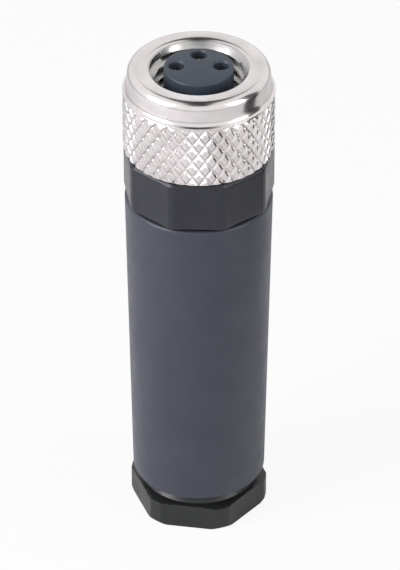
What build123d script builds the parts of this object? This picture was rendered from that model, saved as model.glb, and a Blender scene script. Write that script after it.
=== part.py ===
from build123d import *
import os
from math import cos, pi, radians, sin

# Female circular connector, three ways, M8 x 1 coupling nut, field wired with screw terminals.
# Millimetres. Z runs up from the rest face of the gland nut to the mating face.
# -Y faces the viewer and contact 4 is at the back, towards +Y.

# Coupling thread, which sets the size of the connector
THREAD_DIAMETER = 8.0
THREAD_DEPTH = 0.5415
THREAD_MOUTH = 0.05
THREAD_RELIEF = 0.1

# Running and seating clearances
SEAT = 0.02
RUNNING = 0.05
THREAD_CLEARANCE = 0.05
THREAD_CHAMFER = 0.3

# Outside of the connector from the nut down, each piece sized from the one above it
NUT_WALL = 2.0
NUT_BAND_STEP = 0.35
COLLAR_OVERHANG = 0.05
COLLAR_FLAT_DEPTH = 0.3
SLEEVE_STEP = 0.15
SLEEVE_TAPER = 0.5
GLAND_OVERHANG = 0.2
GLAND_FLAT_DEPTH = 0.5
GLAND_NECK_STEP = 0.15

# Coupling nut: diamond knurl below, then a smooth land, a flare and the narrower front band
NUT_GAP = 0.05
NUT_LENGTH = 7.35
NUT_BAND_HEIGHT = 1.1
NUT_FLARE_HEIGHT = 0.9
NUT_LAND_HEIGHT = 0.15
NUT_LAND_EDGE = 0.1
NUT_TOP_EDGE = 0.55
NUT_BOTTOM_CHAMFER = 0.45
NUT_LIP_HEIGHT = 0.75
NUT_RELIEF_HEIGHT = 1.4
KNURL_COUNT = 36
KNURL_DEPTH = 0.28
KNURL_PITCH = 1.45

# Snap ring that holds the nut on the insert, with the play that lets the nut find its thread
RING_THICKNESS = 0.5
RING_WIDTH = 0.8
RING_LIP_BITE = 0.25
RING_SPLIT_ANGLE = 24.0
NUT_PLAY = 0.5

# Contacts: turned sockets on a circle, contact 4 at the back, 1 left, 3 right.
# The shares are of the nose's radius.
CONTACT_CIRCLE_SHARE = 0.6364
CONTACT_SPREAD = 84.0
CONTACT_WEB = 0.34
CONTACT_CLEARANCE = 0.05
CONTACT_RECESS = 0.8
CONTACT_HEAD = 0.8
SOCKET_BORE_SHARE = 0.1818
SOCKET_DEPTH = 6.0
TINE_WALL = 0.2
TINE_SLOT = 0.22
TINE_LENGTH = 4.5
TINE_MOUTH = 0.12
ENTRY_STEP = 0.1
ENTRY_CHAMFER = 0.12
BARREL_WALL = 0.4
BARREL_DEPTH = 4.0
WAIST_STEP = 0.25

# Contact insert: nose with the sockets, flange, neck through the collar, shoulder behind it.
# The plug wall is the room round the nose for the mating plug's shell and thread.
PLUG_WALL = 1.25
NOSE_CHAMFER = 0.15
FLANGE_PASSAGE = 0.16
FLANGE_THICKNESS = 0.45
RING_GROOVE_DEPTH = 0.35
FACE_SEAL_GROOVE_DEPTH = 0.15
FACE_SEAL_GROOVE_LEAN = 0.06
FACE_SEAL_SECTION = 0.6
SEAL_SIDE_COUNT = 8
NECK_CLEARANCE = 0.05
SHOULDER_HEIGHT = 2.95
INSERT_CLEARANCE = 0.05
KEY_GROOVE_WIDTH = 0.8
KEY_GROOVE_DEPTH = 0.15
KEY_GROOVE_LENGTH = 3.2
INSERT_KEY_WIDTH = 0.9
INSERT_KEY_DEPTH = 0.3
INSERT_KEY_HEIGHT = 1.0

# Collar: nine flats outside, one of them facing the angle given, and a threaded spigot below
COLLAR_HEIGHT = 4.3
COLLAR_GAP = 0.05
COLLAR_FLAT_ANGLE = -91.5
COLLAR_FLAT_COUNT = 9
COLLAR_EDGE = 0.25
COLLAR_FRONT_WALL = 2.0
SPIGOT_WALL = 0.8
SPIGOT_LAND = 0.9
O_RING_GROOVE_DEPTH = 0.45
O_RING_GROOVE_WIDTH = 0.7
O_RING_GROOVE_DROP = 0.15

# Terminal block behind the insert, held by a spring clip in the collar
BLOCK_LAND_HEIGHT = 3.0
BLOCK_TAIL_HEIGHT = 5.2
BLOCK_FLOOR = 0.5
BLOCK_FUNNEL = 0.25
BLOCK_NOTCH_WIDTH = 0.9
BLOCK_NOTCH_DEPTH = 0.7
CLIP_THICKNESS = 0.5
CLIP_BITE = 0.5
CLIP_GROOVE_DEPTH = 0.25
CLIP_GAP_ANGLE = 40.0

# Terminal screws and the guards between each screw and its wire
SCREW_DIAMETER = 1.2
SCREW_HEIGHT = 2.0
SCREW_RECESS = 0.1
SCREW_CHAMFER = 0.14
SCREW_SLOT_WIDTH = 0.25
SCREW_SLOT_DEPTH = 0.35
GUARD_STEP = 0.15
GUARD_THICKNESS = 0.2
GUARD_OFFSET = 0.45

# Sleeve: tapered grip tube between the gland nut and the collar
SLEEVE_LENGTH = 26.8
SLEEVE_EDGE = 0.3
SLEEVE_FOOT_EDGE = 0.15
SLEEVE_THREAD_WALL = 0.85
GLAND_THREAD_WALL = 1.4
CHAMBER_STEP = 0.45
WIRING_SPACE = 2.6
CONE_SLOPE = 2.0
THROAT_STEP = 0.7
THROAT_THICKNESS = 0.8
THREAD_RUNOUT = 0.4

# Gland nut: hexagon head, shank in the lower thread of the sleeve, bore for the cable
GLAND_HEX_HEIGHT = 2.05
GLAND_CONE_HEIGHT = 0.9
GLAND_CORNER_ANGLE = -9.5
GLAND_FLAT_COUNT = 6
GLAND_EDGE = 0.3
GLAND_GAP = 0.25
GLAND_WALL = 1.25
BELL_MOUTH = 0.5

# Cable seal, clamp ring and thrust washer, stacked between the throat and the gland nut
CABLE_GRIP = 0.2
SEAL_LENGTH = 4.5
SEAL_FIT = 0.1
SEAL_RIB_DEPTH = 0.3
SEAL_RIB_COUNT = 3
CLAMP_LENGTH = 2.9
CLAMP_BASE = 0.8
CLAMP_TAPER = 0.45
CLAMP_FINGER_COUNT = 10
CLAMP_SLOT = 0.5
WASHER_THICKNESS = 0.3
WASHER_STEP = 0.3

# Outside radii
NUT_RADIUS = THREAD_DIAMETER / 2 + NUT_WALL
COLLAR_CORNER_RADIUS = NUT_RADIUS + COLLAR_OVERHANG
SLEEVE_TOP_RADIUS = COLLAR_CORNER_RADIUS - SLEEVE_STEP
SLEEVE_BOTTOM_RADIUS = SLEEVE_TOP_RADIUS - SLEEVE_TAPER
GLAND_CORNER_RADIUS = SLEEVE_BOTTOM_RADIUS + GLAND_OVERHANG
GLAND_FLAT_RADIUS = GLAND_CORNER_RADIUS - GLAND_FLAT_DEPTH

# Radii of the contacts and the insert
THREAD_MINOR_RADIUS = THREAD_DIAMETER / 2 - THREAD_DEPTH
NOSE_RADIUS = THREAD_DIAMETER / 2 - PLUG_WALL
CONTACT_RADIUS = NOSE_RADIUS * CONTACT_CIRCLE_SHARE
SOCKET_RADIUS = NOSE_RADIUS * SOCKET_BORE_SHARE
CAVITY_RADIUS = CONTACT_RADIUS * sin(radians(CONTACT_SPREAD / 2)) - CONTACT_WEB / 2
BARREL_RADIUS = CAVITY_RADIUS - CONTACT_CLEARANCE
WIRE_BORE_RADIUS = BARREL_RADIUS - BARREL_WALL
TINE_RADIUS = SOCKET_RADIUS + TINE_WALL
FLANGE_RADIUS = THREAD_MINOR_RADIUS - FLANGE_PASSAGE
RING_GROOVE_RADIUS = FLANGE_RADIUS - RING_GROOVE_DEPTH
RING_INNER_RADIUS = RING_GROOVE_RADIUS + RUNNING
RING_OUTER_RADIUS = RING_INNER_RADIUS + RING_WIDTH
LIP_RADIUS = RING_OUTER_RADIUS - RING_LIP_BITE
SEAL_GROOVE_FOOT = NOSE_RADIUS - FACE_SEAL_GROOVE_DEPTH
SEAL_GROOVE_TOP = SEAL_GROOVE_FOOT + FACE_SEAL_GROOVE_LEAN
FACE_SEAL_RADIUS = SEAL_GROOVE_TOP + SEAT

# Radii inside the sleeve
SLEEVE_THREAD_RADIUS = SLEEVE_TOP_RADIUS - SLEEVE_THREAD_WALL
SPIGOT_RADIUS = SLEEVE_THREAD_RADIUS - THREAD_CLEARANCE
COLLAR_BORE_RADIUS = SPIGOT_RADIUS - SPIGOT_WALL
SHOULDER_RADIUS = COLLAR_BORE_RADIUS - INSERT_CLEARANCE
TAIL_RADIUS = SHOULDER_RADIUS - CLIP_BITE
CHAMBER_RADIUS = SLEEVE_THREAD_RADIUS - CHAMBER_STEP
O_RING_FLOOR = SPIGOT_RADIUS - O_RING_GROOVE_DEPTH
GLAND_THREAD_RADIUS = SLEEVE_BOTTOM_RADIUS - GLAND_THREAD_WALL
THROAT_RADIUS = GLAND_THREAD_RADIUS - THROAT_STEP
SHANK_RADIUS = GLAND_THREAD_RADIUS - THREAD_CLEARANCE
SEAL_RADIUS = GLAND_THREAD_RADIUS - SEAL_FIT
CABLE_RADIUS = SHANK_RADIUS - GLAND_WALL
GRIP_RADIUS = CABLE_RADIUS - CABLE_GRIP

# Heights, from the rest face up
GLAND_HEAD_TOP = GLAND_HEX_HEIGHT + GLAND_CONE_HEIGHT
SLEEVE_BOTTOM = GLAND_HEAD_TOP + GLAND_GAP
SLEEVE_TOP = SLEEVE_BOTTOM + SLEEVE_LENGTH
COLLAR_BOTTOM = SLEEVE_TOP + COLLAR_GAP
COLLAR_TOP = COLLAR_BOTTOM + COLLAR_HEIGHT
NUT_BOTTOM = COLLAR_TOP + NUT_GAP
NUT_TOP = NUT_BOTTOM + NUT_LENGTH
LIP_TOP = NUT_BOTTOM + NUT_LIP_HEIGHT
RING_TOP = LIP_TOP + SEAT + RING_THICKNESS
FLANGE_BOTTOM = RING_TOP + NUT_PLAY + RUNNING
FLANGE_TOP = FLANGE_BOTTOM + FLANGE_THICKNESS
NOSE_BOTTOM = FLANGE_TOP + FACE_SEAL_SECTION + 2 * RUNNING
SHOULDER_TOP = COLLAR_TOP - COLLAR_FRONT_WALL - SEAT
SHOULDER_BOTTOM = SHOULDER_TOP - SHOULDER_HEIGHT
BLOCK_TOP = SHOULDER_BOTTOM - SEAT
BLOCK_STEP = BLOCK_TOP - BLOCK_LAND_HEIGHT
BLOCK_BOTTOM = BLOCK_STEP - BLOCK_TAIL_HEIGHT
CLIP_TOP = BLOCK_STEP - SEAT
CLIP_BOTTOM = CLIP_TOP - CLIP_THICKNESS
SPIGOT_BOTTOM = CLIP_BOTTOM - SPIGOT_LAND
CHAMBER_TOP = SPIGOT_BOTTOM - THREAD_RUNOUT
CONE_TOP = BLOCK_BOTTOM - WIRING_SPACE
CONTACT_TOP = NUT_TOP - CONTACT_RECESS
CONTACT_BOTTOM = BLOCK_BOTTOM + BLOCK_FLOOR
HEAD_TOP = SHOULDER_BOTTOM + CONTACT_HEAD
SCREW_AXIS = BLOCK_BOTTOM + SCREW_HEIGHT
THROAT_TOP = CONE_TOP - (CHAMBER_RADIUS - THROAT_RADIUS) / CONE_SLOPE
SEAL_SEAT = THROAT_TOP - THROAT_THICKNESS
SEAL_TOP = SEAL_SEAT - SEAT
SEAL_BOTTOM = SEAL_TOP - SEAL_LENGTH
CLAMP_TOP = SEAL_BOTTOM - SEAT
CLAMP_BOTTOM = CLAMP_TOP - CLAMP_LENGTH
WASHER_TOP = CLAMP_BOTTOM - SEAT
WASHER_BOTTOM = WASHER_TOP - WASHER_THICKNESS
SHANK_TOP = WASHER_BOTTOM - SEAT

# Angle round the axis of each contact, by its number, and of the notches between them
CONTACT_ANGLES = {1: 90 + CONTACT_SPREAD, 3: 90 - CONTACT_SPREAD, 4: 90}
NOTCH_ANGLES = (-90, 90 - CONTACT_SPREAD / 2, 90 + CONTACT_SPREAD / 2)


def turned(*points):
    """A turned piece: its half section, as (radius, height) points, swept round the axis."""
    section = make_face(Polyline([(r, 0, z) for r, z in points], close=True))
    return revolve(section, Axis.Z, 360)


def rod(radius, length):
    """A cylinder that starts at the origin of its frame."""
    return Cylinder(radius, length, align=(Align.CENTER, Align.CENTER, Align.MIN))


def drum(radius, bottom, top):
    """A plain cylinder on the axis between two heights."""
    return Pos(0, 0, bottom) * rod(radius, top - bottom)


def tube(outer, inner, bottom, top):
    """A plain ring on the axis."""
    return drum(outer, bottom, top) - drum(inner, bottom, top)


def o_ring(inner, section, height):
    """A seal ring, centred at a height on the axis, with its round section drawn as a polygon."""
    half = section / 2
    points = []
    for corner in range(SEAL_SIDE_COUNT):
        angle = 2 * pi * corner / SEAL_SIDE_COUNT
        points.append((inner + half + half * cos(angle), height + half * sin(angle)))
    return turned(*points)


def split_ring(outer, inner, bottom, top, gap_angle):
    """A spring ring of square section, open over gap_angle at the front."""
    reach = 2 * outer
    side = reach * sin(radians(gap_angle / 2))
    front = -reach * cos(radians(gap_angle / 2))
    wedge = make_face(Polyline((0, 0), (side, front), (-side, front), close=True))
    return tube(outer, inner, bottom, top) - Pos(0, 0, bottom) * extrude(wedge, top - bottom)


def at_contact(number):
    """The place of one contact's axis, with local +X pointing away from the connector's axis."""
    return Rot(0, 0, CONTACT_ANGLES[number]) * Pos(CONTACT_RADIUS, 0, 0)


def along_screw(number, offset):
    """A frame on one terminal screw's axis, offset from its contact, with local +Z pointing outwards."""
    return at_contact(number) * Pos(offset, 0, SCREW_AXIS) * Rot(0, 90, 0)


def knurl_drum(tip_radius, bottom_rim, top_rim, bottom, top):
    """A drum of diamond pyramids between crossing valleys, tapering to a rim radius at each end."""
    rows = max(2, round((top - bottom) / (KNURL_PITCH / 2)))
    rise = (top - bottom) / rows
    step = 2 * pi / KNURL_COUNT
    valley_radius = tip_radius - KNURL_DEPTH
    rims = {0: bottom_rim, rows: top_rim}

    def point(column, row, radius):
        angle = (column + (row % 2) / 2) * step
        out = rims.get(row, radius)
        return (out * cos(angle), out * sin(angle), bottom + row * rise)

    faces = []
    for row in range(rows + 1):
        shift = row % 2
        for column in range(KNURL_COUNT):
            tip = point(column + 0.5, row, tip_radius)
            left = point(column, row, valley_radius)
            right = point(column + 1, row, valley_radius)
            if row < rows:
                above = point(column + shift, row + 1, valley_radius)
                faces.append(make_face(Polyline(tip, right, above, close=True)))
                faces.append(make_face(Polyline(tip, above, left, close=True)))
            if row > 0:
                below = point(column + shift, row - 1, valley_radius)
                faces.append(make_face(Polyline(tip, left, below, close=True)))
                faces.append(make_face(Polyline(tip, below, right, close=True)))
    for row in rims:
        rim = [point(half / 2, row, tip_radius) for half in range(2 * KNURL_COUNT)]
        faces.append(make_face(Polyline(rim, close=True)))
    return Solid(Shell(faces))


def coupling_nut():
    """Knurled nut with a smooth flared front, threaded inside, with a lip behind that holds its ring."""
    band_radius = NUT_RADIUS - NUT_BAND_STEP
    band_bottom = NUT_TOP - NUT_BAND_HEIGHT
    land_top = band_bottom - NUT_FLARE_HEIGHT
    land_bottom = land_top - NUT_LAND_HEIGHT
    grip = knurl_drum(
        NUT_RADIUS, NUT_RADIUS - NUT_BOTTOM_CHAMFER, NUT_RADIUS - KNURL_DEPTH, NUT_BOTTOM, land_bottom
    )
    front = turned(
        (0, land_bottom),
        (NUT_RADIUS - NUT_LAND_EDGE, land_bottom),
        (NUT_RADIUS, land_bottom + NUT_LAND_EDGE),
        (NUT_RADIUS, land_top),
        (band_radius, band_bottom),
        (band_radius, NUT_TOP),
        (0, NUT_TOP),
    )
    front = fillet(front.edges().group_by(Axis.Z)[-1], NUT_TOP_EDGE)
    mouth = THREAD_DIAMETER / 2 + THREAD_MOUTH
    relief = THREAD_DIAMETER / 2 + THREAD_RELIEF
    relief_top = LIP_TOP + NUT_RELIEF_HEIGHT
    bore = turned(
        (0, NUT_BOTTOM),
        (LIP_RADIUS, NUT_BOTTOM),
        (LIP_RADIUS, LIP_TOP),
        (relief, LIP_TOP),
        (relief, relief_top - (relief - THREAD_MINOR_RADIUS)),
        (THREAD_MINOR_RADIUS, relief_top),
        (THREAD_MINOR_RADIUS, NUT_TOP - (mouth - THREAD_MINOR_RADIUS)),
        (mouth, NUT_TOP),
        (0, NUT_TOP),
    )
    return grip + front - bore


def nut_snap_ring():
    """Split ring that rests on the nut's lip and rides in the wide groove of the insert."""
    return split_ring(RING_OUTER_RADIUS, RING_INNER_RADIUS, LIP_TOP + SEAT, RING_TOP, RING_SPLIT_ANGLE)


def face_seal():
    """Seal ring round the foot of the nose, squeezed by the mating connector."""
    return o_ring(FACE_SEAL_RADIUS, FACE_SEAL_SECTION, FLANGE_TOP + SEAT + FACE_SEAL_SECTION / 2)


def contact_insert():
    """Front insulator: nose, flange, ring groove, neck and the shoulder that seats inside the collar."""
    body = turned(
        (0, SHOULDER_BOTTOM),
        (SHOULDER_RADIUS, SHOULDER_BOTTOM),
        (SHOULDER_RADIUS, SHOULDER_TOP),
        (FLANGE_RADIUS, SHOULDER_TOP),
        (FLANGE_RADIUS, COLLAR_TOP),
        (RING_GROOVE_RADIUS, COLLAR_TOP),
        (RING_GROOVE_RADIUS, FLANGE_BOTTOM),
        (FLANGE_RADIUS, FLANGE_BOTTOM),
        (FLANGE_RADIUS, FLANGE_TOP),
        (SEAL_GROOVE_FOOT, FLANGE_TOP),
        (SEAL_GROOVE_TOP, NOSE_BOTTOM),
        (NOSE_RADIUS, NOSE_BOTTOM),
        (NOSE_RADIUS, NUT_TOP - NOSE_CHAMFER),
        (NOSE_RADIUS - NOSE_CHAMFER, NUT_TOP),
        (0, NUT_TOP),
    )
    entry = SOCKET_RADIUS + ENTRY_STEP
    tine_hole = TINE_RADIUS + CONTACT_CLEARANCE
    for number in CONTACT_ANGLES:
        body -= at_contact(number) * turned(
            (0, SHOULDER_BOTTOM),
            (CAVITY_RADIUS, SHOULDER_BOTTOM),
            (CAVITY_RADIUS, HEAD_TOP),
            (tine_hole, HEAD_TOP),
            (tine_hole, CONTACT_TOP + CONTACT_CLEARANCE),
            (entry, CONTACT_TOP + CONTACT_CLEARANCE),
            (entry, NUT_TOP - ENTRY_CHAMFER),
            (entry + ENTRY_CHAMFER, NUT_TOP),
            (0, NUT_TOP),
        )
    groove = Box(
        KEY_GROOVE_WIDTH, 2 * KEY_GROOVE_DEPTH, KEY_GROOVE_LENGTH,
        align=(Align.CENTER, Align.CENTER, Align.MAX),
    )
    return body - Pos(0, NOSE_RADIUS, NUT_TOP) * groove + insert_key()


def insert_key():
    """The key that stops the insert turning in the collar, on the neck under the front wall."""
    key = Box(
        INSERT_KEY_WIDTH, FLANGE_RADIUS + INSERT_KEY_DEPTH, INSERT_KEY_HEIGHT,
        align=(Align.CENTER, Align.MAX, Align.MIN),
    )
    return Pos(0, 0, SHOULDER_TOP) * key - drum(FLANGE_RADIUS - SEAT, SHOULDER_TOP, COLLAR_TOP)


def collar():
    """Collar with flats outside, threaded spigot, seal groove, insert bore and clip groove."""
    edge = COLLAR_EDGE
    corner = COLLAR_CORNER_RADIUS
    blank = turned(
        (0, COLLAR_BOTTOM),
        (corner - edge, COLLAR_BOTTOM),
        (corner, COLLAR_BOTTOM + edge),
        (corner, COLLAR_TOP - edge),
        (corner - edge, COLLAR_TOP),
        (0, COLLAR_TOP),
    )
    flats = RegularPolygon(
        corner - COLLAR_FLAT_DEPTH, COLLAR_FLAT_COUNT, major_radius=False,
        rotation=COLLAR_FLAT_ANGLE - 180 / COLLAR_FLAT_COUNT,
    )
    head = blank & Pos(0, 0, COLLAR_BOTTOM) * extrude(flats, COLLAR_HEIGHT)
    groove_top = COLLAR_BOTTOM - O_RING_GROOVE_DROP
    groove_bottom = groove_top - O_RING_GROOVE_WIDTH
    spigot = turned(
        (0, SPIGOT_BOTTOM),
        (SPIGOT_RADIUS - THREAD_CHAMFER, SPIGOT_BOTTOM),
        (SPIGOT_RADIUS, SPIGOT_BOTTOM + THREAD_CHAMFER),
        (SPIGOT_RADIUS, groove_bottom),
        (O_RING_FLOOR, groove_bottom),
        (O_RING_FLOOR, groove_top),
        (SPIGOT_RADIUS, groove_top),
        (SPIGOT_RADIUS, COLLAR_BOTTOM),
        (0, COLLAR_BOTTOM),
    )
    wall_bottom = COLLAR_TOP - COLLAR_FRONT_WALL
    clip_radius = COLLAR_BORE_RADIUS + CLIP_GROOVE_DEPTH
    neck_radius = FLANGE_RADIUS + NECK_CLEARANCE
    bore = turned(
        (0, SPIGOT_BOTTOM),
        (COLLAR_BORE_RADIUS, SPIGOT_BOTTOM),
        (COLLAR_BORE_RADIUS, CLIP_BOTTOM - SEAT),
        (clip_radius, CLIP_BOTTOM - SEAT),
        (clip_radius, CLIP_TOP + SEAT),
        (COLLAR_BORE_RADIUS, CLIP_TOP + SEAT),
        (COLLAR_BORE_RADIUS, wall_bottom),
        (neck_radius, wall_bottom),
        (neck_radius, COLLAR_TOP),
        (0, COLLAR_TOP),
    )
    slot = Box(
        INSERT_KEY_WIDTH + 2 * INSERT_CLEARANCE,
        FLANGE_RADIUS + INSERT_KEY_DEPTH + INSERT_CLEARANCE,
        INSERT_KEY_HEIGHT + INSERT_CLEARANCE,
        align=(Align.CENTER, Align.MAX, Align.MIN),
    )
    return head + spigot - bore - Pos(0, 0, wall_bottom) * slot


def collar_o_ring():
    """Seal ring in the spigot's groove, between the collar and the sleeve."""
    section = SLEEVE_THREAD_RADIUS - O_RING_FLOOR - 2 * SEAT
    middle = COLLAR_BOTTOM - O_RING_GROOVE_DROP - O_RING_GROOVE_WIDTH / 2
    return o_ring(O_RING_FLOOR + SEAT, section, middle)


def insert_clip():
    """Spring clip in the collar's bore, under the land of the terminal block."""
    outer = COLLAR_BORE_RADIUS + CLIP_GROOVE_DEPTH - SEAT
    return split_ring(outer, TAIL_RADIUS + RUNNING, CLIP_BOTTOM, CLIP_TOP, CLIP_GAP_ANGLE)


def terminal_block():
    """Rear insulator with a cavity, a screw hole and a wire funnel for each contact."""
    body = drum(SHOULDER_RADIUS, BLOCK_STEP, BLOCK_TOP) + drum(TAIL_RADIUS, BLOCK_BOTTOM, BLOCK_STEP)
    for number in CONTACT_ANGLES:
        body -= at_contact(number) * turned(
            (0, BLOCK_BOTTOM),
            (WIRE_BORE_RADIUS + BLOCK_FUNNEL, BLOCK_BOTTOM),
            (WIRE_BORE_RADIUS, BLOCK_BOTTOM + BLOCK_FUNNEL),
            (WIRE_BORE_RADIUS, CONTACT_BOTTOM - CONTACT_CLEARANCE),
            (CAVITY_RADIUS, CONTACT_BOTTOM - CONTACT_CLEARANCE),
            (CAVITY_RADIUS, BLOCK_TOP),
            (0, BLOCK_TOP),
        )
        body -= along_screw(number, 0) * rod(SCREW_DIAMETER / 2 + RUNNING, TAIL_RADIUS)
    notch = Box(
        2 * BLOCK_NOTCH_DEPTH, BLOCK_NOTCH_WIDTH, BLOCK_TAIL_HEIGHT,
        align=(Align.CENTER, Align.CENTER, Align.MIN),
    )
    for angle in NOTCH_ANGLES:
        body -= Rot(0, 0, angle) * Pos(TAIL_RADIUS, 0, BLOCK_BOTTOM) * notch
    return body


def contact():
    """One turned contact on its own axis: split socket in front, head, waist and wire barrel behind."""
    barrel_top = CONTACT_BOTTOM + BARREL_DEPTH + BARREL_WALL
    head_bottom = SHOULDER_BOTTOM - BARREL_WALL
    waist = BARREL_RADIUS - WAIST_STEP
    socket_bottom = CONTACT_TOP - SOCKET_DEPTH
    body = turned(
        (0, CONTACT_BOTTOM),
        (BARREL_RADIUS, CONTACT_BOTTOM),
        (BARREL_RADIUS, barrel_top),
        (waist, barrel_top + WAIST_STEP),
        (waist, head_bottom),
        (BARREL_RADIUS, head_bottom),
        (BARREL_RADIUS, HEAD_TOP - SEAT),
        (TINE_RADIUS, HEAD_TOP - SEAT),
        (TINE_RADIUS, CONTACT_TOP - TINE_MOUTH),
        (TINE_RADIUS - TINE_MOUTH, CONTACT_TOP),
        (0, CONTACT_TOP),
    )
    body -= turned(
        (0, socket_bottom - SOCKET_RADIUS / 2),
        (SOCKET_RADIUS, socket_bottom),
        (SOCKET_RADIUS, CONTACT_TOP - TINE_MOUTH),
        (SOCKET_RADIUS + TINE_MOUTH, CONTACT_TOP),
        (0, CONTACT_TOP),
    )
    slot = Box(TINE_SLOT, 4 * TINE_RADIUS, TINE_LENGTH, align=(Align.CENTER, Align.CENTER, Align.MAX))
    body -= Pos(0, 0, CONTACT_TOP) * slot
    return body - drum(WIRE_BORE_RADIUS, CONTACT_BOTTOM, CONTACT_BOTTOM + BARREL_DEPTH)


def placed_contact(number):
    """A contact in its cavity, with the screw hole through its barrel facing outwards."""
    hole = along_screw(number, 0) * rod(SCREW_DIAMETER / 2, 2 * BARREL_RADIUS)
    return at_contact(number) * contact() - hole


def wire_guard(number):
    """The small plate that the screw presses on the wire."""
    return along_screw(number, GUARD_OFFSET) * rod(SCREW_DIAMETER / 2 - GUARD_STEP, GUARD_THICKNESS)


def terminal_screw(number):
    """Headless slotted screw, from the guard to just under the block's surface."""
    start = GUARD_OFFSET + GUARD_THICKNESS + SEAT
    length = TAIL_RADIUS - CONTACT_RADIUS - SCREW_RECESS - start
    radius = SCREW_DIAMETER / 2 - SEAT
    screw = rod(radius, length)
    screw = chamfer(screw.edges().group_by(Axis.Z)[0], SCREW_CHAMFER)
    slot = Box(SCREW_SLOT_WIDTH, 4 * radius, SCREW_SLOT_DEPTH, align=(Align.CENTER, Align.CENTER, Align.MAX))
    return along_screw(number, start) * (screw - Pos(0, 0, length) * slot)


def sleeve():
    """Tapered tube: spigot thread at the top, wiring chamber, throat, seal seat and gland thread below."""
    shell = turned(
        (0, SLEEVE_BOTTOM),
        (SLEEVE_BOTTOM_RADIUS, SLEEVE_BOTTOM),
        (SLEEVE_TOP_RADIUS, SLEEVE_TOP),
        (0, SLEEVE_TOP),
    )
    shell = fillet(shell.edges().group_by(Axis.Z)[-1], SLEEVE_EDGE)
    shell = chamfer(shell.edges().group_by(Axis.Z)[0], SLEEVE_FOOT_EDGE)
    bore = turned(
        (0, SLEEVE_BOTTOM),
        (GLAND_THREAD_RADIUS + THREAD_CHAMFER, SLEEVE_BOTTOM),
        (GLAND_THREAD_RADIUS, SLEEVE_BOTTOM + THREAD_CHAMFER),
        (GLAND_THREAD_RADIUS, SEAL_SEAT),
        (THROAT_RADIUS, SEAL_SEAT),
        (THROAT_RADIUS, THROAT_TOP),
        (CHAMBER_RADIUS, CONE_TOP),
        (CHAMBER_RADIUS, CHAMBER_TOP),
        (SLEEVE_THREAD_RADIUS, CHAMBER_TOP),
        (SLEEVE_THREAD_RADIUS, SLEEVE_TOP),
        (0, SLEEVE_TOP),
    )
    return shell - bore


def cable_seal():
    """Soft grommet with ribs outside and lips inside."""
    pitch = SEAL_LENGTH / SEAL_RIB_COUNT
    outside = []
    inside = []
    for rib in range(SEAL_RIB_COUNT):
        low = SEAL_BOTTOM + rib * pitch
        outside += [(SEAL_RADIUS, low), (SEAL_RADIUS, low + pitch / 2)]
        outside.append((SEAL_RADIUS - SEAL_RIB_DEPTH, low + pitch * 3 / 4))
        inside += [(GRIP_RADIUS, low), (GRIP_RADIUS + SEAL_RIB_DEPTH, low + pitch / 2)]
    outside[-1] = (SEAL_RADIUS, SEAL_TOP)
    inside.append((GRIP_RADIUS, SEAL_TOP))
    return turned(*outside, *reversed(inside))


def clamp_ring():
    """Clamp ring with slotted tapered fingers that close on the cable."""
    body = turned(
        (GRIP_RADIUS, CLAMP_BOTTOM),
        (SEAL_RADIUS, CLAMP_BOTTOM),
        (SEAL_RADIUS, CLAMP_BOTTOM + CLAMP_BASE),
        (SEAL_RADIUS - CLAMP_TAPER, CLAMP_TOP),
        (GRIP_RADIUS, CLAMP_TOP),
    )
    slot = Box(
        2 * SEAL_RADIUS, CLAMP_SLOT, CLAMP_LENGTH - CLAMP_BASE,
        align=(Align.MIN, Align.CENTER, Align.MAX),
    )
    for finger in range(CLAMP_FINGER_COUNT):
        body -= Rot(0, 0, finger * 360 / CLAMP_FINGER_COUNT) * Pos(0, 0, CLAMP_TOP) * slot
    return body


def thrust_washer():
    """Flat washer that lets the gland nut turn without twisting the clamp ring."""
    return tube(SEAL_RADIUS, CABLE_RADIUS + WASHER_STEP, WASHER_BOTTOM, WASHER_TOP)


def gland_nut():
    """Pressing screw: hexagon with turned corners, cone, neck and threaded shank, bored for the cable."""
    corner = GLAND_CORNER_RADIUS
    neck = SHANK_RADIUS - THREAD_CHAMFER
    thread_bottom = SLEEVE_BOTTOM + THREAD_CHAMFER
    blank = turned(
        (0, 0),
        (corner - GLAND_EDGE, 0),
        (corner, GLAND_EDGE),
        (corner, GLAND_HEX_HEIGHT),
        (GLAND_FLAT_RADIUS - GLAND_NECK_STEP, GLAND_HEAD_TOP),
        (neck, GLAND_HEAD_TOP),
        (neck, thread_bottom),
        (SHANK_RADIUS, thread_bottom + THREAD_CHAMFER),
        (SHANK_RADIUS, SHANK_TOP - THREAD_CHAMFER),
        (SHANK_RADIUS - THREAD_CHAMFER, SHANK_TOP),
        (0, SHANK_TOP),
    )
    hexagon = RegularPolygon(
        GLAND_FLAT_RADIUS, GLAND_FLAT_COUNT, major_radius=False, rotation=GLAND_CORNER_ANGLE
    )
    bore = turned(
        (0, 0),
        (CABLE_RADIUS + BELL_MOUTH, 0),
        (CABLE_RADIUS, BELL_MOUTH),
        (CABLE_RADIUS, SHANK_TOP),
        (0, SHANK_TOP),
    )
    return (blank & extrude(hexagon, SHANK_TOP)) - bore


def sub_parts():
    """Every separate piece of the connector, by its name."""
    parts = {
        "coupling_nut": coupling_nut(),
        "nut_snap_ring": nut_snap_ring(),
        "face_seal": face_seal(),
        "contact_insert": contact_insert(),
        "terminal_block": terminal_block(),
        "insert_clip": insert_clip(),
        "collar": collar(),
        "collar_o_ring": collar_o_ring(),
        "sleeve": sleeve(),
        "cable_seal": cable_seal(),
        "clamp_ring": clamp_ring(),
        "thrust_washer": thrust_washer(),
        "gland_nut": gland_nut(),
    }
    for number in CONTACT_ANGLES:
        parts[f"contact_{number}"] = placed_contact(number)
        parts[f"wire_guard_{number}"] = wire_guard(number)
        parts[f"terminal_screw_{number}"] = terminal_screw(number)
    return parts


os.makedirs("parts", exist_ok=True)
for name, piece in sub_parts().items():
    export_step(piece, f"parts/{name}.step")
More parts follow.
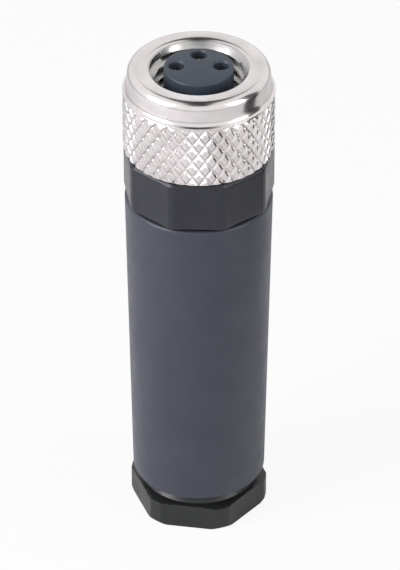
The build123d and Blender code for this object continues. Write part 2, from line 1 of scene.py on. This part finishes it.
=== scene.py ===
import bpy
import math
import numpy as np
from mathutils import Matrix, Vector


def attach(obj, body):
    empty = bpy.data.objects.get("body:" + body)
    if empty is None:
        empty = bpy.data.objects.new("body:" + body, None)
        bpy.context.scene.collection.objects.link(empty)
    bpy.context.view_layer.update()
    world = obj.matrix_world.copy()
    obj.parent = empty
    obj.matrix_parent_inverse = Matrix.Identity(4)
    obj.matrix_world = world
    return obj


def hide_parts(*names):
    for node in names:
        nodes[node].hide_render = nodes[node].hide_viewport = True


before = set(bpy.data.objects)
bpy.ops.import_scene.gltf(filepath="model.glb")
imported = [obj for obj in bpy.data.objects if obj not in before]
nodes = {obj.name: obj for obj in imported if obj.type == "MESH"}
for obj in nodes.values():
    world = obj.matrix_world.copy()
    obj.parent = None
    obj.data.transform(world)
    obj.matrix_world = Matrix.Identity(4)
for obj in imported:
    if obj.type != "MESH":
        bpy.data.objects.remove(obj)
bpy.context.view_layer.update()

# Sizes in millimetres, as in the part's source where it has the same form
MM = 0.001
TAU = 2 * math.pi
COUPLING_PITCH, FINE_PITCH = 1.0, 0.75

NUT_BOTTOM, NUT_TOP, NUT_R, BAND_R = 34.40, 41.75, 6.0, 5.65
LAND_TOP, BAND_BOTTOM, TOP_ROUND, MOUTH_ROUND = 39.80, 40.38, 1.0, 0.60
FLARE_TURN, FLARE_R = math.radians(44), 0.85
MINOR_R, MOUTH_R, LIP_R, LIP_TOP = 3.4585, 4.05, 3.5485, 35.15
MINOR_LOW, MINOR_HIGH, RELIEF_R, RELIEF_CONE = 36.55, 41.16, 4.1, 0.64
KNURL_TOP, KNURL_DEPTH, KNURL_COUNT, KNURL_ROWS = 39.60, 0.22, 36, 7
VALLEY_SOFT, TIP_GAIN, TIP_SOFT = 0.08, 1.75, 0.25
DIAMOND_CELLS = 16
KNURL_STEP = (KNURL_TOP - NUT_BOTTOM) / (DIAMOND_CELLS // 2 * KNURL_ROWS)

COLLAR_BOTTOM, COLLAR_TOP, COLLAR_R, COLLAR_FLAT = 30.05, 34.35, 6.05, 5.75
COLLAR_FLAT_COUNT, COLLAR_FLAT_TURN, COLLAR_EDGE = 9, math.radians(-91.5), 0.2
COLLAR_FACE_R, COLLAR_BORE, COLLAR_WALL, COLLAR_HOLE_R = 5.45, 4.2, 32.35, 3.3485
SPIGOT_R, SPIGOT_BOTTOM, SPIGOT_CHAMFER = 5.0, 24.94, 0.3
RING_GROOVE_LOW, RING_GROOVE_HIGH, RING_SEAT_R = 29.20, 29.90, 4.55
CLIP_LOW, CLIP_HIGH, CLIP_SEAT_R = 25.82, 26.36, 4.45

SLEEVE_BOTTOM, SLEEVE_TOP, SLEEVE_LOW_R, SLEEVE_HIGH_R = 3.20, 30.00, 5.40, 5.90
SLEEVE_MOUTH_R, CHAMBER_R, CHAMBER_TOP = 5.05, 4.60, 24.54
CONE_TOP, THROAT_R, THROAT_TOP, SEAL_SEAT = 18.56, 3.3, 17.91, 17.11
GLAND_THREAD_R, GLAND_THREAD_TOP = 4.0, 10.0

GLAND_R, GLAND_FLAT, GLAND_FLAT_COUNT, GLAND_FLAT_TURN = 5.6, 5.1, 6, math.radians(20.5)
HEX_TOP, HEAD_TOP, GLAND_NECK_R, GLAND_EDGE, GLAND_FACE_R = 2.05, 2.95, 4.75, 0.15, 4.50
SHANK_R, SHANK_TOP, SHANK_CHAMFER, SHANK_NECK_R, GLAND_BORE = 3.95, 9.33, 0.3, 3.65, 2.7

NOSE_R, NOSE_BOTTOM, NOSE_EDGE = 2.75, 37.37, 0.14
FLANGE_R, FLANGE_TOP, FLANGE_BOTTOM, SEAL_SEAT_R, SNAP_SEAT_R = 3.2985, 36.67, 36.22, 2.60, 2.9485
SHOULDER_R, SHOULDER_TOP, SHOULDER_BOTTOM = 4.15, 32.33, 29.38
CONTACT_TOP, HEAD_Z, CAVITY_R, TINE_HOLE, ENTRY_R = 40.95, 30.18, 1.0011, 0.75, 0.6
CONTACT_CIRCLE, CONTACT_ANGLES = 1.75, {1: 174.0, 3: 6.0, 4: 90.0}
KEY_HALF_WIDTH, KEY_DEPTH, KEY_LENGTH = 0.4, 0.15, 3.2

# Sizes in the profiles' arcs and meshes
FILLET_STEP = 0.22
THREAD_STEP, NUT_THREAD_STEP = 0.07, 0.105


# Profiles: closed lists of (radius, height, tag) points
def rounded(corners):
    """A profile of (radius, height, fillet, tag) corners, each fillet drawn as an arc."""
    out = []
    count = len(corners)
    for i, (r, z, fillet, tag) in enumerate(corners):
        if not fillet:
            out.append((r, z, tag))
            continue
        p = np.array((r, z))
        a = np.array(corners[i - 1][:2]) - p
        b = np.array(corners[(i + 1) % count][:2]) - p
        la, lb = np.linalg.norm(a), np.linalg.norm(b)
        a, b = a / la, b / lb
        half = math.acos(max(-1, min(1, float(a @ b)))) / 2
        # An arc takes less than half of either side, so that two neighbours never meet
        reach = min(fillet / math.tan(half), 0.49 * la, 0.49 * lb)
        radius = reach * math.tan(half)
        centre = p + (a + b) / np.linalg.norm(a + b) * radius / math.sin(half)
        start, end = p + a * reach - centre, p + b * reach - centre
        turn = math.atan2(start[0] * end[1] - start[1] * end[0], start @ end)
        steps = max(2, int(abs(turn) / FILLET_STEP))
        for s in range(steps + 1):
            c, n = math.cos(turn * s / steps), math.sin(turn * s / steps)
            q = centre + (start[0] * c - start[1] * n, start[0] * n + start[1] * c)
            out.append((q[0], q[1], tag))
    return out


def refined(profile, tag, step):
    """Adds points along the runs whose two ends carry tag."""
    out = []
    for i, (r, z, t) in enumerate(profile):
        out.append((r, z, t))
        r2, z2, t2 = profile[(i + 1) % len(profile)]
        length = math.hypot(r2 - r, z2 - z)
        if t == tag and t2 == tag and length > step:
            n = int(math.ceil(length / step))
            out += [(r + (r2 - r) * k / n, z + (z2 - z) * k / n, tag) for k in range(1, n)]
    return out


def signed_area(profile):
    r = np.array([p[0] for p in profile])
    z = np.array([p[1] for p in profile])
    return float(np.sum(r * np.roll(z, -1) - np.roll(r, -1) * z)) / 2


# Relief: radii as functions of the angle and the height
def thread(angle, height, pitch):
    """0 on the crest and 1 in the root of a right hand thread, with flats on both."""
    phase = (height / pitch - angle / TAU) % 1.0
    wave = 1 - np.abs(2 * phase - 1)
    return np.clip((wave - 0.16) / 0.62, 0, 1)


def fade(height, low, high, over):
    """1 between two heights, easing to 0 past them."""
    return np.clip((height - low) / over + 1, 0, 1) * np.clip((high - height) / over + 1, 0, 1)


def fine_thread(angle, height, low, high, over, depth):
    return thread(angle, height, FINE_PITCH) * fade(height, low, high, over) * depth


def soft_min(a, b, width):
    h = np.clip(0.5 + 0.5 * (b - a) / width, 0, 1)
    return b + (a - b) * h - width * h * (1 - h)


def prism(angle, count, turn, flat):
    """The radius of a regular prism whose flats lie flat away from the axis, one of them facing turn."""
    part = TAU / count
    return flat / np.cos((angle - turn + part / 2) % part - part / 2)


def at_tag(tags, tag, there, elsewhere):
    return np.where(tags[:, None] == tag, there, elsewhere)


# Meshes
def smoothed(mesh, sharp):
    """Smooth shading, with sharp edges where faces meet at more than this angle."""
    for polygon in mesh.polygons:
        polygon.use_smooth = True
    mesh.set_sharp_from_angle(angle=sharp)


def linked(name, mesh):
    made = bpy.data.objects.new(name, mesh)
    bpy.context.scene.collection.objects.link(made)
    return made


def mesh_of(name, verts, faces):
    mesh = bpy.data.meshes.new(name)
    mesh.from_pydata([tuple(v) for v in verts], [], [tuple(f) for f in faces])
    mesh.validate()
    return mesh


def mesh_piece(name, verts, faces, body, look, node_name, sharp=0.45):
    mesh = mesh_of(name, verts, faces)
    smoothed(mesh, sharp)
    mesh.materials.append(look)
    piece = linked(name, mesh)
    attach(piece, body)
    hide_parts(node_name)
    return piece


def lathe(profile, count, shape=None, closed=True):
    """Vertices in metres and faces of a turned form. shape moves the radii of tagged points."""
    radius = np.array([p[0] for p in profile])[:, None] * np.ones((1, count))
    height = np.array([p[1] for p in profile])[:, None] * np.ones((1, count))
    angle = np.ones((len(profile), 1)) * (np.arange(count) * TAU / count)[None, :]
    if shape:
        radius = shape(radius, height, angle, np.array([p[2] for p in profile]))
    verts = np.stack([radius * np.cos(angle), radius * np.sin(angle), height], -1) * MM
    rows = len(profile)
    faces = []
    for i in range(rows if closed else rows - 1):
        j = (i + 1) % rows
        for k in range(count):
            m = (k + 1) % count
            faces.append((i * count + k, j * count + k, j * count + m, i * count + m))
    return verts.reshape(-1, 3), faces


def capped(profile, count):
    """A turned form whose profile starts and ends on the axis."""
    inner = profile[1:-1]
    verts, faces = lathe(inner, count, closed=False)
    low, high = len(verts), len(verts) + 1
    verts = np.vstack([verts, (0, 0, profile[0][1] * MM), (0, 0, profile[-1][1] * MM)])
    faces = [tuple(reversed(f)) for f in faces]
    last = (len(inner) - 1) * count
    for k in range(count):
        m = (k + 1) % count
        faces += [(low, m, k), (high, last + k, last + m)]
    return verts, faces


def turned(name, profile, count, body, look, shape, node_name, sharp=0.45):
    if signed_area(profile) > 0:
        profile = profile[::-1]
    verts, faces = lathe(profile, count, shape)
    return mesh_piece(name, verts, faces, body, look, node_name, sharp)


def cut(piece, tools):
    """Takes the tools' space out of the piece, and the tools out of the scene."""
    for tool in tools:
        step = piece.modifiers.new("cut", "BOOLEAN")
        step.operation = "DIFFERENCE"
        step.solver = "EXACT"
        step.object = tool
    depsgraph = bpy.context.evaluated_depsgraph_get()
    made = bpy.data.meshes.new_from_object(piece.evaluated_get(depsgraph))
    piece.modifiers.clear()
    piece.data = made
    for tool in tools:
        bpy.data.objects.remove(tool)


# Node helpers
def node(tree, kind, **settings):
    n = tree.nodes.new(kind)
    for key, value in settings.items():
        if key in n.inputs:
            n.inputs[key].default_value = value
        else:
            setattr(n, key, value)
    return n


def material(name):
    m = bpy.data.materials.new(name)
    m.use_nodes = True
    tree = m.node_tree
    tree.nodes.clear()
    out = tree.nodes.new("ShaderNodeOutputMaterial")
    shader = tree.nodes.new("ShaderNodeBsdfPrincipled")
    tree.links.new(shader.outputs["BSDF"], out.inputs["Surface"])
    return m, tree, shader


def noise(tree, scale, detail, stretch=(1, 1, 1)):
    where = tree.nodes.new("ShaderNodeTexCoord")
    mapping = node(tree, "ShaderNodeMapping", Scale=stretch)
    tree.links.new(where.outputs["Object"], mapping.inputs["Vector"])
    n = node(tree, "ShaderNodeTexNoise", Scale=scale, Detail=detail, Roughness=0.55)
    tree.links.new(mapping.outputs["Vector"], n.inputs["Vector"])
    return n.outputs["Fac"]


# The middle part of a noise's range, which the ramps spread over theirs
NOISE_LOW, NOISE_HIGH = 0.3, 0.7


def ramp(tree, value, low, high):
    n = tree.nodes.new("ShaderNodeMapRange")
    n.inputs["From Min"].default_value, n.inputs["From Max"].default_value = NOISE_LOW, NOISE_HIGH
    n.inputs["To Min"].default_value, n.inputs["To Max"].default_value = low, high
    tree.links.new(value, n.inputs["Value"])
    return n.outputs["Result"]


def blend_colour(tree, value, dark, light):
    n = tree.nodes.new("ShaderNodeValToRGB")
    ends = n.color_ramp.elements
    ends[0].position, ends[1].position = NOISE_LOW, NOISE_HIGH
    ends[0].color, ends[1].color = (*dark, 1), (*light, 1)
    tree.links.new(value, n.inputs["Fac"])
    return n.outputs["Color"]


def bump(tree, shader, value, strength, distance):
    n = node(tree, "ShaderNodeBump", Strength=strength, Distance=distance)
    tree.links.new(value, n.inputs["Height"])
    tree.links.new(n.outputs["Normal"], shader.inputs["Normal"])


def times(tree, a, b):
    n = node(tree, "ShaderNodeMath", operation="MULTIPLY")
    tree.links.new(a, n.inputs[0])
    tree.links.new(b, n.inputs[1])
    return n.outputs[0]


def scaled(tree, value, factor, added):
    """value times factor plus added, which is a number or another socket."""
    n = node(tree, "ShaderNodeMath", operation="MULTIPLY_ADD")
    tree.links.new(value, n.inputs[0])
    n.inputs[1].default_value = factor
    if isinstance(added, float):
        n.inputs[2].default_value = added
    else:
        tree.links.new(added, n.inputs[2])
    return n.outputs[0]


def smooth_step(tree, value, ends):
    n = node(tree, "ShaderNodeMapRange", interpolation_type="SMOOTHSTEP")
    n.inputs["From Min"].default_value, n.inputs["From Max"].default_value = ends
    tree.links.new(value, n.inputs["Value"])
    return n.outputs["Result"]


def seen_directly(tree, camera_share, gloss_share):
    """The share for the camera's rays, or for those that metal and clear pieces send on, and else 0."""
    path = tree.nodes.new("ShaderNodeLightPath")
    sent_on = node(tree, "ShaderNodeMath", operation="MAXIMUM")
    tree.links.new(path.outputs["Is Glossy Ray"], sent_on.inputs[0])
    tree.links.new(path.outputs["Is Transmission Ray"], sent_on.inputs[1])
    return scaled(tree, path.outputs["Is Camera Ray"], camera_share,
                  scaled(tree, sent_on.outputs[0], gloss_share, 0.0))


def mixed(tree, share, first, second, out):
    """Sends first to the output, and second instead of it for this share."""
    mix = tree.nodes.new("ShaderNodeMixShader")
    tree.links.new(share, mix.inputs[0])
    tree.links.new(first, mix.inputs[1])
    tree.links.new(second, mix.inputs[2])
    tree.links.new(mix.outputs[0], out.inputs["Surface"])


# Materials
def plastic(name, dark, light, rough, grain=9000.0, strength=0.12):
    m, tree, shader = material(name)
    clouds = noise(tree, 260.0, 5.0)
    tree.links.new(blend_colour(tree, clouds, dark, light), shader.inputs["Base Color"])
    wear = noise(tree, 700.0, 6.0)
    tree.links.new(ramp(tree, wear, rough - 0.05, rough + 0.07), shader.inputs["Roughness"])
    bump(tree, shader, noise(tree, grain, 3.0), strength, 0.00003)
    return m


def metal(name, dark, light, rough, spread=0.06):
    m, tree, shader = material(name)
    clouds = noise(tree, 420.0, 6.0)
    tree.links.new(blend_colour(tree, clouds, dark, light), shader.inputs["Base Color"])
    lines = noise(tree, 900.0, 4.0, stretch=(1, 1, 40))
    tree.links.new(ramp(tree, lines, rough - spread, rough + spread), shader.inputs["Roughness"])
    bump(tree, shader, lines, 0.1, 0.00001)
    shader.inputs["Metallic"].default_value = 1.0
    return m


def paper(name, dark, light, scale, rough):
    m, tree, shader = material(name)
    tint = noise(tree, scale, 3.0)
    tree.links.new(blend_colour(tree, tint, dark, light), shader.inputs["Base Color"])
    shader.inputs["Roughness"].default_value = rough
    return m, tree, shader


nickel = metal("nickel_satin", (0.68, 0.64, 0.64), (0.82, 0.775, 0.775), 0.18, spread=0.04)
# The bore's darker nickel colour is painted shade inside the mouth and threads; its rougher finish is the bore's
# own
nickel_bore_painted_shade = metal("nickel_bore_painted_shade", (0.46, 0.45, 0.445), (0.60, 0.59, 0.58), 0.28)
steel = metal("spring_steel", (0.42, 0.42, 0.43), (0.6, 0.6, 0.61), 0.32)
gold = metal("contact_gold", (0.75, 0.52, 0.2), (0.88, 0.66, 0.3), 0.25)
brass = metal("guard_brass", (0.6, 0.48, 0.26), (0.75, 0.62, 0.38), 0.3)
zinc = metal("screw_zinc", (0.5, 0.51, 0.53), (0.64, 0.65, 0.66), 0.3)
insert_black = plastic("insert_plastic", (0.040, 0.051, 0.072), (0.053, 0.067, 0.092), 0.42)
collar_black = plastic("collar_plastic", (0.010, 0.011, 0.019), (0.017, 0.018, 0.029), 0.28)
sleeve_black = plastic("sleeve_plastic", (0.036, 0.040, 0.060), (0.048, 0.052, 0.075), 0.38)
gland_black = plastic("gland_plastic", (0.010, 0.011, 0.011), (0.017, 0.018, 0.018), 0.36)
clamp_grey = plastic("clamp_plastic", (0.08, 0.08, 0.09), (0.11, 0.11, 0.12), 0.45)
washer_pale = plastic("washer_plastic", (0.52, 0.51, 0.48), (0.62, 0.61, 0.58), 0.4)
rubber = plastic("seal_rubber", (0.012, 0.012, 0.013), (0.022, 0.022, 0.024), 0.62, 5000.0, 0.25)


# Coupling nut
def knurl_height(angle, height):
    """0 in the crossing valleys and 1 on the worn tips of the diamonds."""
    u = angle / TAU * KNURL_COUNT
    v = (height - NUT_BOTTOM) / (KNURL_TOP - NUT_BOTTOM) * KNURL_ROWS / 2
    a = 1 - np.abs(2 * ((u + v) % 1.0) - 1)
    b = 1 - np.abs(2 * ((u - v) % 1.0) - 1)
    return soft_min(soft_min(a, b, VALLEY_SOFT) * TIP_GAIN, 1.0, TIP_SOFT)


def nut_shape(radius, height, angle, tags):
    grip = NUT_R - KNURL_DEPTH * (1 - knurl_height(angle, height))
    radius = at_tag(tags, "knurl", np.minimum(radius, grip), radius)
    ends = fade(height, MINOR_LOW + 0.15, MINOR_HIGH - 0.05, 0.5)
    return at_tag(tags, "thread", radius + thread(angle, height, COUPLING_PITCH) * ends * 0.52, radius)


# The hollow flare runs from the land over the knurl up to the band
flare = [(BAND_R + FLARE_R * (1 - math.cos(FLARE_TURN * k / 10)),
          BAND_BOTTOM - FLARE_R * math.sin(FLARE_TURN * k / 10), 0, "") for k in range(8, -1, -1)]
nut_profile = rounded([
    (LIP_R, NUT_BOTTOM, 0.06, ""),
    (5.60, NUT_BOTTOM, 0, ""),
    (5.76, NUT_BOTTOM + 0.02, 0, "knurl"),
    (5.94, NUT_BOTTOM + 0.12, 0, "knurl"),
    (NUT_R, NUT_BOTTOM + 3 * KNURL_STEP, 0, "knurl"),
    (NUT_R, KNURL_TOP - 3 * KNURL_STEP, 0, "knurl"),
    (5.80, KNURL_TOP - 0.03, 0, "knurl"),
    (5.84, KNURL_TOP, 0.02, ""),
    (NUT_R, KNURL_TOP + 0.04, 0.05, ""),
    (NUT_R, LAND_TOP, 0.04, ""),
    *flare,
    (BAND_R, NUT_TOP, TOP_ROUND, ""),
    (MOUTH_R, NUT_TOP, MOUTH_ROUND, ""),
    (MINOR_R, MINOR_HIGH, 0, "thread"),
    (MINOR_R, MINOR_LOW, 0, "thread"),
    (RELIEF_R, MINOR_LOW - RELIEF_CONE, 0, ""),
    (RELIEF_R, LIP_TOP, 0, ""),
    (LIP_R, LIP_TOP, 0.04, ""),
])
# Rows a hair over the step, so that they lie on the knurl's own grid
nut_profile = refined(refined(nut_profile, "knurl", 1.001 * KNURL_STEP), "thread", NUT_THREAD_STEP)
nut = turned("coupling_nut_skin", nut_profile, DIAMOND_CELLS * KNURL_COUNT, "nut", nickel, nut_shape,
             "coupling_nut", sharp=0.5)
# A second, darker nickel on the faces inside the mouth paints the shade of that recess
nut.data.materials.append(nickel_bore_painted_shade)
for polygon in nut.data.polygons:
    x, y, z = polygon.center / MM
    if math.hypot(x, y) < MOUTH_R + 0.06 and z < NUT_TOP - 0.12:
        polygon.material_index = 1


# Collar
def collar_shape(radius, height, angle, tags):
    flat = prism(angle, COLLAR_FLAT_COUNT, COLLAR_FLAT_TURN, COLLAR_FLAT) - (COLLAR_R - radius)
    radius = at_tag(tags, "flat", soft_min(radius, flat, 0.03), radius)
    return at_tag(tags, "thread", radius - fine_thread(angle, height, 25.5, 28.9, 0.3, 0.40), radius)


collar_profile = rounded([
    (COLLAR_BORE, SPIGOT_BOTTOM, 0.05, ""),
    (SPIGOT_R - SPIGOT_CHAMFER, SPIGOT_BOTTOM, 0, ""),
    (SPIGOT_R, SPIGOT_BOTTOM + SPIGOT_CHAMFER, 0, "thread"),
    (SPIGOT_R, RING_GROOVE_LOW - 0.01, 0, "thread"),
    (RING_SEAT_R, RING_GROOVE_LOW, 0, ""),
    (RING_SEAT_R, RING_GROOVE_HIGH, 0, ""),
    (SPIGOT_R, RING_GROOVE_HIGH, 0, ""),
    (SPIGOT_R, COLLAR_BOTTOM, 0, ""),
    (COLLAR_FACE_R, COLLAR_BOTTOM, 0, "flat"),
    (COLLAR_R - COLLAR_EDGE, COLLAR_BOTTOM, 0.06, "flat"),
    (COLLAR_R, COLLAR_BOTTOM + COLLAR_EDGE, 0.1, "flat"),
    (COLLAR_R, COLLAR_TOP - COLLAR_EDGE, 0.1, "flat"),
    (COLLAR_R - COLLAR_EDGE, COLLAR_TOP, 0.06, "flat"),
    (COLLAR_FACE_R, COLLAR_TOP, 0, "flat"),
    (COLLAR_HOLE_R, COLLAR_TOP, 0.05, ""),
    (COLLAR_HOLE_R, COLLAR_WALL, 0, ""),
    (COLLAR_BORE, COLLAR_WALL, 0, ""),
    (COLLAR_BORE, CLIP_HIGH, 0, ""),
    (CLIP_SEAT_R, CLIP_HIGH, 0, ""),
    (CLIP_SEAT_R, CLIP_LOW, 0, ""),
    (COLLAR_BORE, CLIP_LOW, 0, ""),
])
collar_profile = refined(refined(collar_profile, "thread", THREAD_STEP), "flat", 0.4)
turned("collar_skin", collar_profile, 720, "front_unit", collar_black, collar_shape,
       "collar")


# Sleeve
def sleeve_shape(radius, height, angle, tags):
    upper = fine_thread(angle, height, 25.0, 29.6, 0.3, 0.36)
    lower = fine_thread(angle, height, 3.8, 9.4, 0.3, 0.36)
    return at_tag(tags, "thread", radius + upper + lower, radius)


sleeve_profile = rounded([
    (GLAND_THREAD_R + 0.3, SLEEVE_BOTTOM, 0.04, ""),
    (SLEEVE_LOW_R, SLEEVE_BOTTOM, 0.16, ""),
    (SLEEVE_HIGH_R, SLEEVE_TOP, 0.28, ""),
    (SLEEVE_MOUTH_R, SLEEVE_TOP, 0.05, ""),
    (SLEEVE_MOUTH_R, SLEEVE_TOP - 0.2, 0, "thread"),
    (SLEEVE_MOUTH_R, CHAMBER_TOP, 0, "thread"),
    (CHAMBER_R, CHAMBER_TOP - 0.01, 0, ""),
    (CHAMBER_R, CONE_TOP, 0.2, ""),
    (THROAT_R, THROAT_TOP, 0.05, ""),
    (THROAT_R, SEAL_SEAT, 0.05, ""),
    (GLAND_THREAD_R, SEAL_SEAT, 0, ""),
    (GLAND_THREAD_R, GLAND_THREAD_TOP, 0, "thread"),
    (GLAND_THREAD_R, SLEEVE_BOTTOM + 0.3, 0, "thread"),
])
sleeve_profile = refined(sleeve_profile, "thread", THREAD_STEP)
turned("sleeve_skin", sleeve_profile, 384, "sleeve_unit", sleeve_black, sleeve_shape,
       "sleeve")


# Gland nut
def gland_shape(radius, height, angle, tags):
    flat = prism(angle, GLAND_FLAT_COUNT, GLAND_FLAT_TURN, GLAND_FLAT)
    radius = at_tag(tags, "flat", soft_min(radius, flat, 0.06), radius)
    return at_tag(tags, "thread", radius - fine_thread(angle, height, 4.0, 8.9, 0.25, 0.34), radius)


gland_profile = rounded([
    (GLAND_BORE + 0.5, 0.0, 0.05, ""),
    (GLAND_FACE_R, 0.0, 0, "flat"),
    (GLAND_R - GLAND_EDGE, 0.0, 0.08, "flat"),
    (GLAND_R, GLAND_EDGE, 0.08, "flat"),
    (GLAND_R, HEX_TOP, 0.05, "flat"),
    (GLAND_NECK_R, HEX_TOP + 0.20, 0.05, "flat"),
    (GLAND_NECK_R - 0.4, HEAD_TOP, 0.06, ""),
    (SHANK_NECK_R, HEAD_TOP, 0, ""),
    (SHANK_NECK_R, HEAD_TOP + 0.55, 0, ""),
    (SHANK_R, HEAD_TOP + 0.85, 0, "thread"),
    (SHANK_R, SHANK_TOP - SHANK_CHAMFER, 0, "thread"),
    (SHANK_R - SHANK_CHAMFER, SHANK_TOP, 0.03, ""),
    (GLAND_BORE, SHANK_TOP, 0.05, ""),
    (GLAND_BORE, 0.50, 0.2, ""),
])
gland_profile = refined(refined(gland_profile, "thread", THREAD_STEP), "flat", 0.25)
turned("gland_nut_skin", gland_profile, 384, "gland", gland_black, gland_shape,
       "gland_nut")

# Contact insert
insert_profile = rounded([
    (0.0, SHOULDER_BOTTOM, 0, ""),
    (SHOULDER_R, SHOULDER_BOTTOM, 0.05, ""),
    (SHOULDER_R, SHOULDER_TOP, 0.05, ""),
    (FLANGE_R, SHOULDER_TOP, 0, ""),
    (FLANGE_R, COLLAR_TOP, 0, ""),
    (SNAP_SEAT_R, COLLAR_TOP, 0, ""),
    (SNAP_SEAT_R, FLANGE_BOTTOM, 0, ""),
    (FLANGE_R, FLANGE_BOTTOM, 0.04, ""),
    (FLANGE_R, FLANGE_TOP, 0.04, ""),
    (SEAL_SEAT_R, FLANGE_TOP, 0, ""),
    (SEAL_SEAT_R + 0.06, NOSE_BOTTOM, 0, ""),
    (NOSE_R, NOSE_BOTTOM, 0.02, ""),
    (NOSE_R, NUT_TOP, NOSE_EDGE, ""),
    (0.0, NUT_TOP, 0, ""),
])
hole_profile = rounded([
    (0.0, SHOULDER_BOTTOM - 0.3, 0, ""),
    (CAVITY_R, SHOULDER_BOTTOM - 0.3, 0, ""),
    (CAVITY_R, HEAD_Z, 0, ""),
    (TINE_HOLE, HEAD_Z, 0, ""),
    (TINE_HOLE, CONTACT_TOP + 0.05, 0, ""),
    (ENTRY_R, CONTACT_TOP + 0.05, 0, ""),
    (ENTRY_R, NUT_TOP - 0.12, 0.1, ""),
    (ENTRY_R + 0.23, NUT_TOP + 0.11, 0, ""),
    (0.0, NUT_TOP + 0.11, 0, ""),
])
verts, faces = capped(insert_profile, 192)
insert = mesh_piece("contact_insert_skin", verts, faces, "front_unit", insert_black,
                    "contact_insert")
tools = []
for number, degrees in CONTACT_ANGLES.items():
    verts, faces = capped(hole_profile, 64)
    a = math.radians(degrees)
    verts = verts + np.array((math.cos(a), math.sin(a), 0)) * CONTACT_CIRCLE * MM
    tools.append(linked(f"hole_{number}", mesh_of(f"hole_{number}", verts, faces)))
corners = [(sx * KEY_HALF_WIDTH, sy, sz)
           for sz in (NUT_TOP - KEY_LENGTH, NUT_TOP + 0.3)
           for sy in (NOSE_R - KEY_DEPTH, NOSE_R + 0.3) for sx in (-1, 1)]
faces = [(2, 3, 1, 0), (5, 7, 6, 4), (1, 5, 4, 0), (6, 7, 3, 2), (4, 6, 2, 0), (3, 7, 5, 1)]
tools.append(linked("key_groove", mesh_of("key_groove", np.array(corners) * MM, faces)))
cut(insert, tools)
smoothed(insert.data, 0.45)

# CAD nodes that stay in view
finish = {
    "nut_snap_ring": steel, "insert_clip": steel, "face_seal": rubber, "collar_o_ring": rubber,
    "cable_seal": rubber, "clamp_ring": clamp_grey, "thrust_washer": washer_pale,
    "terminal_block": insert_black,
}
for number in CONTACT_ANGLES:
    finish[f"contact_{number}"] = gold
    finish[f"wire_guard_{number}"] = brass
    finish[f"terminal_screw_{number}"] = zinc
for name, look in finish.items():
    mesh = nodes[name].data
    mesh.materials.clear()
    mesh.materials.append(look)
    smoothed(mesh, 0.5)

# Floor, which the camera and the metal see as nearly white while it keeps the shadow
floor_look, tree, shader = paper("floor_paper", (0.90, 0.90, 0.90), (0.94, 0.94, 0.94), 30.0, 0.85)
shader.inputs["Specular IOR Level"].default_value = 0.1
white = node(tree, "ShaderNodeEmission", Color=(1, 1, 1, 1), Strength=1.0)
out = next(n for n in tree.nodes if n.type == "OUTPUT_MATERIAL")
mixed(tree, seen_directly(tree, 0.9, 0.3), shader.outputs["BSDF"], white.outputs[0], out)
floor = linked("floor", mesh_of("floor", [(-2, -2, 0), (2, -2, 0), (2, 2, 0), (-2, 2, 0)], [(0, 1, 2, 3)]))
floor.data.materials.append(floor_look)
# The connector stands on its gland nut, so the floor stays under that
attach(floor, "gland")

# A dark card at the right, out of view, that only the gloss of the surfaces shows
CARD_X, CARD_FRONT, CARD_BACK, CARD_TOP = 0.055, -0.018, 0.006, 0.10
corners = [(CARD_X, CARD_FRONT, 0), (CARD_X, CARD_BACK, 0),
           (CARD_X, CARD_BACK, CARD_TOP), (CARD_X, CARD_FRONT, CARD_TOP)]
card = linked("card", mesh_of("card", corners, [(0, 1, 2, 3)]))
card.data.materials.append(paper("card_paper", (0.02, 0.02, 0.02), (0.04, 0.04, 0.04), 60.0, 0.9)[0])
card.visible_camera = card.visible_diffuse = card.visible_shadow = False

# World: plain light, and a white room with a dark gap overhead for the metal to show
GAP_SIDE, GAP_FRONT, GAP_BACK, GAP_DARK = (0.26, 0.12), (-0.62, -0.34), (0.78, 0.70), 0.95
world = bpy.data.worlds.new("studio")
bpy.context.scene.world = world
world.use_nodes = True
tree = world.node_tree
tree.nodes.clear()
plain = node(tree, "ShaderNodeBackground", Color=(1, 1, 1, 1), Strength=0.38)
room = node(tree, "ShaderNodeBackground", Color=(1, 1, 1, 1))
out = tree.nodes.new("ShaderNodeOutputWorld")
mixed(tree, seen_directly(tree, 1.0, 1.0), plain.outputs[0], room.outputs[0], out)
where = tree.nodes.new("ShaderNodeTexCoord")
split = tree.nodes.new("ShaderNodeSeparateXYZ")
tree.links.new(where.outputs["Generated"], split.inputs[0])
aside = node(tree, "ShaderNodeMath", operation="ABSOLUTE")
tree.links.new(split.outputs["X"], aside.inputs[0])
gap = times(tree, smooth_step(tree, aside.outputs[0], GAP_SIDE), smooth_step(tree, split.outputs["Y"], GAP_FRONT))
gap = times(tree, gap, smooth_step(tree, split.outputs["Y"], GAP_BACK))
tree.links.new(scaled(tree, gap, -GAP_DARK, 1.0), room.inputs["Strength"])


# Lamps
def lamp(name, place, size, power, colour=(1, 1, 1)):
    data = bpy.data.lights.new(name, "AREA")
    data.shape = "RECTANGLE"
    data.size, data.size_y = size
    data.energy = power
    data.color = colour
    light = linked(name, data)
    light.location = place
    light.rotation_euler = (Vector((0, 0, 0.02)) - Vector(place)).to_track_quat("-Z", "Y").to_euler()


lamp("left_box", (-0.165, -0.08, 0.125), (0.11, 0.15), 0.36, (0.97, 0.96, 1.0))
lamp("right_box", (0.28, -0.13, 0.18), (0.16, 0.26), 0.34)

# Camera
CAMERA_TILT, CAMERA_DISTANCE, CAMERA_AIM = math.radians(35.37), 0.375, Vector((0.000096, 0, 0.02085))
camera_data = bpy.data.cameras.new("camera")
camera_data.lens = 294.0
camera_data.sensor_fit = "AUTO"
camera_data.sensor_width = 36.0
camera_data.clip_start, camera_data.clip_end = 0.01, 10.0
camera = linked("camera", camera_data)
camera.location = CAMERA_AIM + Vector((0, -math.cos(CAMERA_TILT), math.sin(CAMERA_TILT))) * CAMERA_DISTANCE
camera.rotation_euler = (CAMERA_AIM - camera.location).to_track_quat("-Z", "Y").to_euler()
bpy.context.scene.camera = camera
bpy.context.scene.view_settings.view_transform = "Standard"
